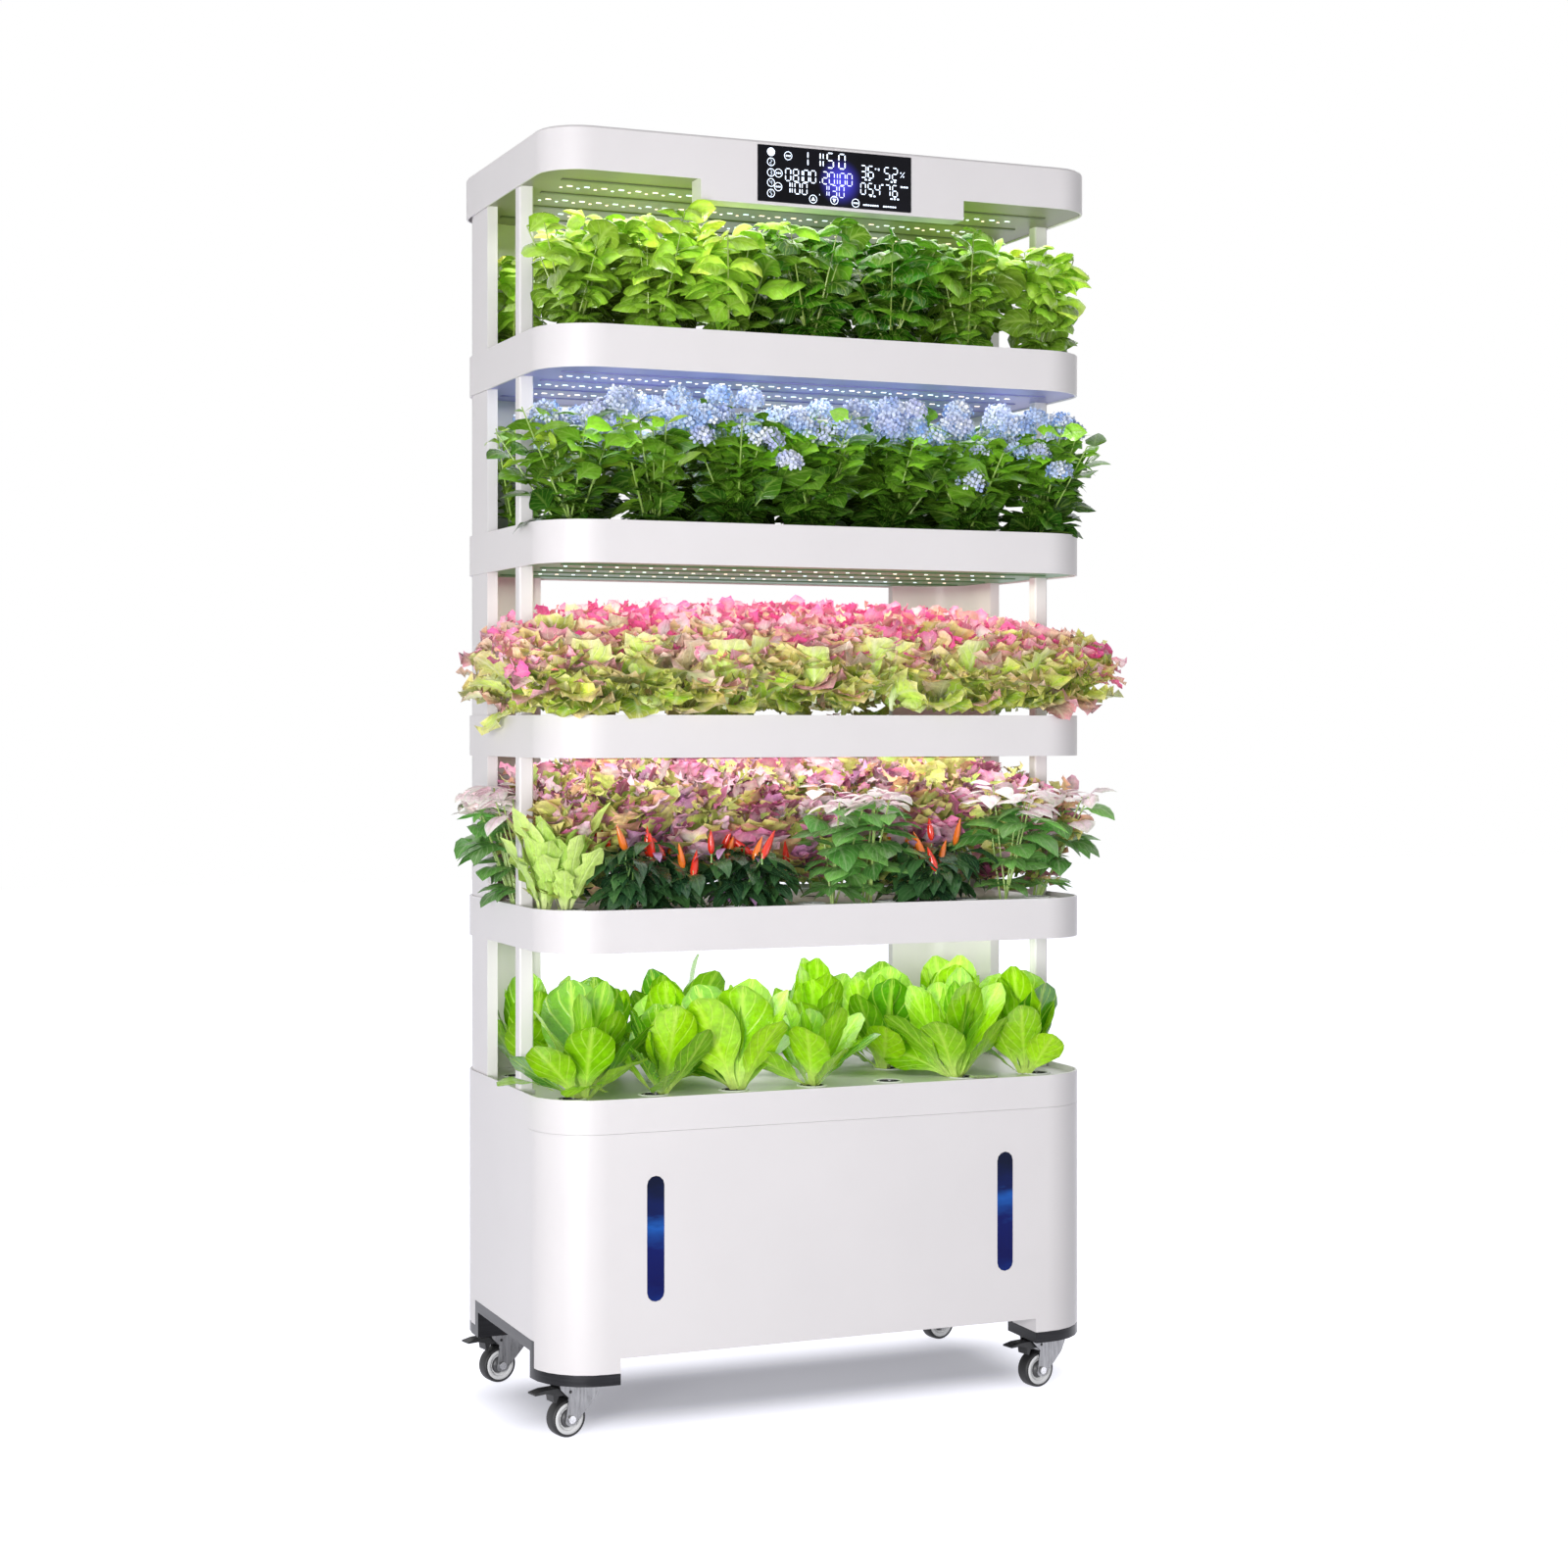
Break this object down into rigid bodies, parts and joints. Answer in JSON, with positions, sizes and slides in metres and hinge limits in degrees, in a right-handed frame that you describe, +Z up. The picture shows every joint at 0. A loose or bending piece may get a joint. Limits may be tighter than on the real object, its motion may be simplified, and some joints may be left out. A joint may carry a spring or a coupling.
{
  "type": "hydroponic tower",
  "caption": "Tall hydroponic rack on swivel casters: a water tank, stacked grow trays with lamps over planted crops, and a hood with a control display.",
  "frame": {"origin": "on the floor under the middle of the tank", "axes": "+Z up, +X to the right seen from the front, the front with the display faces -Y"},
  "size_m": [0.896, 0.4662, 1.704],
  "materials": {
    "warm_white_plastic": "satin moulded white",
    "board_white": "matte white",
    "lamp_plate_white": "matte white with rows of small lamps",
    "dark_brushed_steel": "dark brushed steel strip",
    "zinc_plate": "zinc-plated pressed steel",
    "grey_rubber": "dark grey rubber tread",
    "hub_plastic": "pale rim and dark hub",
    "pedal_black": "black paint",
    "window_blue": "clear window with deep blue water behind",
    "display_glass": "black glass with lit digits",
    "dark_plastic": "black moulded plastic",
    "pipe_grey": "grey pipe",
    "leaf_bright_green": "smooth bright green leaves",
    "leaf_mixed": "red and green leaves with red peppers",
    "leaf_pink_and_lime": "frilled lime and pink leaves",
    "leaf_dark_and_blue": "dark green leaves with pale blue flower heads",
    "leaf_basil_green": "glossy basil leaves"
  },
  "bodies": {
    "rack": {"caster_mount_front_left": "zinc_plate", "caster_mount_front_right": "zinc_plate", "caster_mount_rear_left": "zinc_plate", "caster_mount_rear_right": "zinc_plate", "base_frame": "dark_brushed_steel", "water_tank": "warm_white_plastic", "sight_window_left": "window_blue", "sight_window_right": "window_blue", "deck_tray": "warm_white_plastic", "grow_tray_2": "warm_white_plastic", "planting_board_2": "board_white", "lamp_plate_2": "lamp_plate_white", "grow_tray_3": "warm_white_plastic", "planting_board_3": "board_white", "lamp_plate_3": "lamp_plate_white", "grow_tray_4": "warm_white_plastic", "planting_board_4": "board_white", "lamp_plate_4": "lamp_plate_white", "grow_tray_5": "warm_white_plastic", "planting_board_5": "board_white", "lamp_plate_5": "lamp_plate_white", "lamp_plate_hood": "lamp_plate_white", "hood": "warm_white_plastic", "control_display": "display_glass", "controller_box": "dark_plastic", "power_inlet": "dark_plastic", "circulation_pump": "dark_plastic", "riser_pipe": "pipe_grey", "front_post_left": "warm_white_plastic", "rear_column_left": "warm_white_plastic", "front_post_right": "warm_white_plastic", "rear_column_right": "warm_white_plastic", "crop_1_leaf_lettuce": "leaf_bright_green", "crop_2_peppers_and_oak_leaf": "leaf_mixed", "crop_3_frilled_lettuce": "leaf_pink_and_lime", "crop_4_hydrangea": "leaf_dark_and_blue", "crop_5_basil": "leaf_basil_green"},
    "caster_front_left": {"caster_fork_front_left": "zinc_plate", "axle_bolt_front_left": "zinc_plate"},
    "wheel_front_left": {"wheel_hub_front_left": "hub_plastic", "tyre_front_left": "grey_rubber"},
    "pedal_front_left": {"brake_pedal_front_left": "pedal_black"},
    "caster_front_right": {"caster_fork_front_right": "zinc_plate", "axle_bolt_front_right": "zinc_plate"},
    "wheel_front_right": {"wheel_hub_front_right": "hub_plastic", "tyre_front_right": "grey_rubber"},
    "pedal_front_right": {"brake_pedal_front_right": "pedal_black"},
    "caster_rear_left": {"caster_fork_rear_left": "zinc_plate", "axle_bolt_rear_left": "zinc_plate"},
    "wheel_rear_left": {"wheel_hub_rear_left": "hub_plastic", "tyre_rear_left": "grey_rubber"},
    "pedal_rear_left": {"brake_pedal_rear_left": "pedal_black"},
    "caster_rear_right": {"caster_fork_rear_right": "zinc_plate", "axle_bolt_rear_right": "zinc_plate"},
    "wheel_rear_right": {"wheel_hub_rear_right": "hub_plastic", "tyre_rear_right": "grey_rubber"},
    "pedal_rear_right": {"brake_pedal_rear_right": "pedal_black"}
  },
  "joints": [
    {"name": "swivel_front_left", "type": "hinge", "parent": "rack", "child": "caster_front_left", "pos_m": [-0.346, -0.158, 0.07], "axis": [0, 0, 1], "continuous": true},
    {"name": "wheel_spin_front_left", "type": "hinge", "parent": "caster_front_left", "child": "wheel_front_left", "pos_m": [-0.35872, -0.1607, 0.025], "axis": [-0.2079, 0.9781, 0], "continuous": true},
    {"name": "brake_front_left", "type": "hinge", "parent": "caster_front_left", "child": "pedal_front_left", "pos_m": [-0.35969, -0.16091, 0.061], "axis": [0.2079, -0.9781, 0], "range_deg": [0, 8]},
    {"name": "swivel_front_right", "type": "hinge", "parent": "rack", "child": "caster_front_right", "pos_m": [0.346, -0.158, 0.07], "axis": [0, 0, 1], "continuous": true},
    {"name": "wheel_spin_front_right", "type": "hinge", "parent": "caster_front_right", "child": "wheel_front_right", "pos_m": [0.33328, -0.1607, 0.025], "axis": [-0.2079, 0.9781, 0], "continuous": true},
    {"name": "brake_front_right", "type": "hinge", "parent": "caster_front_right", "child": "pedal_front_right", "pos_m": [0.33231, -0.16091, 0.061], "axis": [0.2079, -0.9781, 0], "range_deg": [0, 8]},
    {"name": "swivel_rear_left", "type": "hinge", "parent": "rack", "child": "caster_rear_left", "pos_m": [-0.346, 0.158, 0.07], "axis": [0, 0, 1], "continuous": true},
    {"name": "wheel_spin_rear_left", "type": "hinge", "parent": "caster_rear_left", "child": "wheel_rear_left", "pos_m": [-0.35872, 0.1553, 0.025], "axis": [-0.2079, 0.9781, 0], "continuous": true},
    {"name": "brake_rear_left", "type": "hinge", "parent": "caster_rear_left", "child": "pedal_rear_left", "pos_m": [-0.35969, 0.15509, 0.061], "axis": [0.2079, -0.9781, 0], "range_deg": [0, 8]},
    {"name": "swivel_rear_right", "type": "hinge", "parent": "rack", "child": "caster_rear_right", "pos_m": [0.346, 0.158, 0.07], "axis": [0, 0, 1], "continuous": true},
    {"name": "wheel_spin_rear_right", "type": "hinge", "parent": "caster_rear_right", "child": "wheel_rear_right", "pos_m": [0.33328, 0.1553, 0.025], "axis": [-0.2079, 0.9781, 0], "continuous": true},
    {"name": "brake_rear_right", "type": "hinge", "parent": "caster_rear_right", "child": "pedal_rear_right", "pos_m": [0.33231, 0.15509, 0.061], "axis": [0.2079, -0.9781, 0], "range_deg": [0, 8]}
  ]
}
